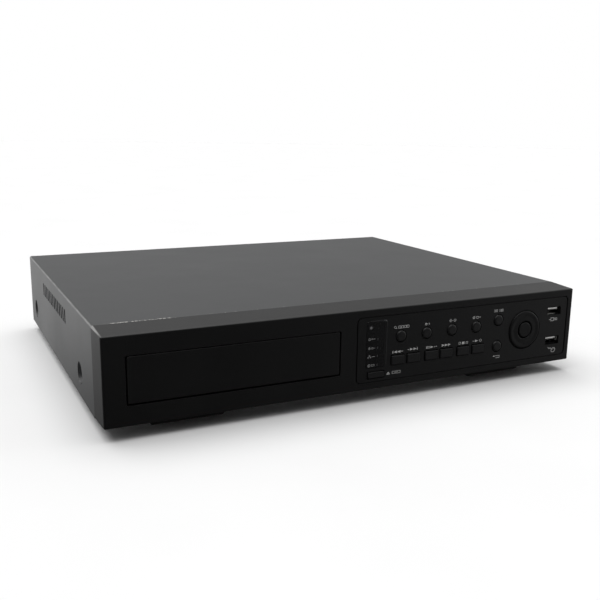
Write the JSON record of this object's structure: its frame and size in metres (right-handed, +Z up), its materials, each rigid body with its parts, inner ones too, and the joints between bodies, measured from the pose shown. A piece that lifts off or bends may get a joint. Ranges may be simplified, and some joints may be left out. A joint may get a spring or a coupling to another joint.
{
  "type": "video recorder",
  "caption": "Flat desktop video recorder in a folded steel case: sliding disc tray, inset keypad with a tilting navigation ring, USB sockets, camera and network sockets behind.",
  "frame": {"origin": "middle of the footprint, on the surface under the feet", "axes": "+X to the right seen from the front, +Y from the front to the back, +Z up"},
  "size_m": [0.38, 0.3236, 0.07],
  "materials": {
    "cover_paint": "satin dark grey paint",
    "zinc_steel": "zinc plated sheet",
    "bezel_plastic": "fine moulded texture",
    "plate_plastic": "fine moulded texture",
    "key_plastic": "satin",
    "lens": "smoked, glossy",
    "lamp": "clear, unlit",
    "tray_plastic": "satin",
    "inner_plastic": "moulded",
    "circuit_board": "solder mask",
    "chip_plastic": "matte",
    "drive_aluminium": "cast",
    "nickel": "bright nickel",
    "brass": "turned",
    "terminal_green": "moulded",
    "ribbon_grey": "flat cable",
    "cable_red": "flat cable",
    "black_screw": "black oxide",
    "zinc_screw": "zinc plated",
    "foot_rubber": "moulded"
  },
  "bodies": {
    "chassis": {"audio_jacks": "inner_plastic", "base_pan": "zinc_steel", "bnc_housings": "inner_plastic", "bnc_shells": "nickel", "board_chips": "chip_plastic", "board_standoffs": "brass", "control_panel": "plate_plastic", "cover_screws": "black_screw", "dc_inlet": "inner_plastic", "drive_case": "zinc_steel", "drive_deck": "zinc_steel", "drive_lid": "zinc_steel", "fan_frame": "inner_plastic", "feet": "foot_rubber", "front_fascia": "bezel_plastic", "front_ribbon": "ribbon_grey", "front_usb_shells": "nickel", "front_usb_tongues": "inner_plastic", "hard_drive": "drive_aluminium", "hard_drive_board": "circuit_board", "hdd_cradle": "zinc_steel", "hdmi_port": "nickel", "heat_sink": "drive_aluminium", "inner_screws": "zinc_screw", "ir_receiver": "lens", "key_board": "circuit_board", "lan_port": "nickel", "main_board": "circuit_board", "rear_panel": "zinc_steel", "sata_cables": "cable_red", "sled_rods": "nickel", "status_leds": "lamp", "status_window": "lens", "switch_body": "inner_plastic", "tact_switches": "inner_plastic", "terminal_block": "terminal_green", "top_cover": "cover_paint", "vga_port": "nickel"},
    "tray": {"tray_front": "bezel_plastic", "disc_tray": "tray_plastic"},
    "nav_gimbal": {"nav_gimbal": "inner_plastic"},
    "nav_ring": {"nav_ring": "key_plastic"},
    "ok_button": {"ok_button": "key_plastic"},
    "eject_button": {"eject_button": "key_plastic"},
    "spindle_hub": {"spindle_hub": "inner_plastic"},
    "pickup_sled": {"pickup_sled": "inner_plastic"},
    "fan_rotor": {"fan_rotor": "inner_plastic"},
    "switch_rocker": {"switch_rocker": "key_plastic"},
    "search_button": {"search_button": "key_plastic"},
    "function_button": {"function_button": "key_plastic"},
    "ptz_button": {"ptz_button": "key_plastic"},
    "record_button": {"record_button": "key_plastic"},
    "menu_button": {"menu_button": "key_plastic"},
    "escape_button": {"escape_button": "key_plastic"},
    "back_button": {"back_button": "key_plastic"},
    "next_button": {"next_button": "key_plastic"},
    "slow_button": {"slow_button": "key_plastic"},
    "fast_button": {"fast_button": "key_plastic"},
    "stop_button": {"stop_button": "key_plastic"},
    "play_button": {"play_button": "key_plastic"}
  },
  "joints": [
    {"name": "tray_slide", "type": "slide", "parent": "chassis", "child": "tray", "axis": [0, -1, 0], "range_m": [0, 0.128]},
    {"name": "search_press", "type": "slide", "parent": "chassis", "child": "search_button", "axis": [0, 1, 0], "range_m": [0, 0.0008], "stiffness_N_per_m": 400},
    {"name": "function_press", "type": "slide", "parent": "chassis", "child": "function_button", "axis": [0, 1, 0], "range_m": [0, 0.0008], "stiffness_N_per_m": 400},
    {"name": "ptz_press", "type": "slide", "parent": "chassis", "child": "ptz_button", "axis": [0, 1, 0], "range_m": [0, 0.0008], "stiffness_N_per_m": 400},
    {"name": "record_press", "type": "slide", "parent": "chassis", "child": "record_button", "axis": [0, 1, 0], "range_m": [0, 0.0008], "stiffness_N_per_m": 400},
    {"name": "menu_press", "type": "slide", "parent": "chassis", "child": "menu_button", "axis": [0, 1, 0], "range_m": [0, 0.0008], "stiffness_N_per_m": 400},
    {"name": "escape_press", "type": "slide", "parent": "chassis", "child": "escape_button", "axis": [0, 1, 0], "range_m": [0, 0.0008], "stiffness_N_per_m": 400},
    {"name": "back_press", "type": "slide", "parent": "chassis", "child": "back_button", "axis": [0, 1, 0], "range_m": [0, 0.0008], "stiffness_N_per_m": 400},
    {"name": "next_press", "type": "slide", "parent": "chassis", "child": "next_button", "axis": [0, 1, 0], "range_m": [0, 0.0008], "stiffness_N_per_m": 400},
    {"name": "slow_press", "type": "slide", "parent": "chassis", "child": "slow_button", "axis": [0, 1, 0], "range_m": [0, 0.0008], "stiffness_N_per_m": 400},
    {"name": "fast_press", "type": "slide", "parent": "chassis", "child": "fast_button", "axis": [0, 1, 0], "range_m": [0, 0.0008], "stiffness_N_per_m": 400},
    {"name": "stop_press", "type": "slide", "parent": "chassis", "child": "stop_button", "axis": [0, 1, 0], "range_m": [0, 0.0008], "stiffness_N_per_m": 400},
    {"name": "play_press", "type": "slide", "parent": "chassis", "child": "play_button", "axis": [0, 1, 0], "range_m": [0, 0.0008], "stiffness_N_per_m": 400},
    {"name": "eject_press", "type": "slide", "parent": "chassis", "child": "eject_button", "axis": [0, 1, 0], "range_m": [0, 0.0008], "stiffness_N_per_m": 400},
    {"name": "ok_press", "type": "slide", "parent": "chassis", "child": "ok_button", "axis": [0, 1, 0], "range_m": [0, 0.0008], "stiffness_N_per_m": 400},
    {"name": "nav_up_down", "type": "hinge", "parent": "chassis", "child": "nav_gimbal", "pos_m": [0.1412, -0.1547, 0.0394], "axis": [1, 0, 0], "range_deg": [-2.5, 2.5], "stiffness_Nm_per_rad": 0.09},
    {"name": "nav_left_right", "type": "hinge", "parent": "nav_gimbal", "child": "nav_ring", "pos_m": [0.1412, -0.1547, 0.0394], "axis": [0, 0, 1], "range_deg": [-2.5, 2.5], "stiffness_Nm_per_rad": 0.09},
    {"name": "spindle_spin", "type": "hinge", "parent": "chassis", "child": "spindle_hub", "pos_m": [-0.0995, -0.0872, 0.0273], "axis": [0, 0, 1], "continuous": true},
    {"name": "sled_travel", "type": "slide", "parent": "chassis", "child": "pickup_sled", "axis": [0, 1, 0], "range_m": [0, 0.034]},
    {"name": "fan_spin", "type": "hinge", "parent": "chassis", "child": "fan_rotor", "pos_m": [-0.164, 0.1476, 0.0353], "axis": [0, 1, 0], "continuous": true},
    {"name": "power_rocker", "type": "hinge", "parent": "chassis", "child": "switch_rocker", "pos_m": [0.172, 0.1477, 0.0493], "axis": [1, 0, 0], "range_deg": [0, 22]}
  ]
}
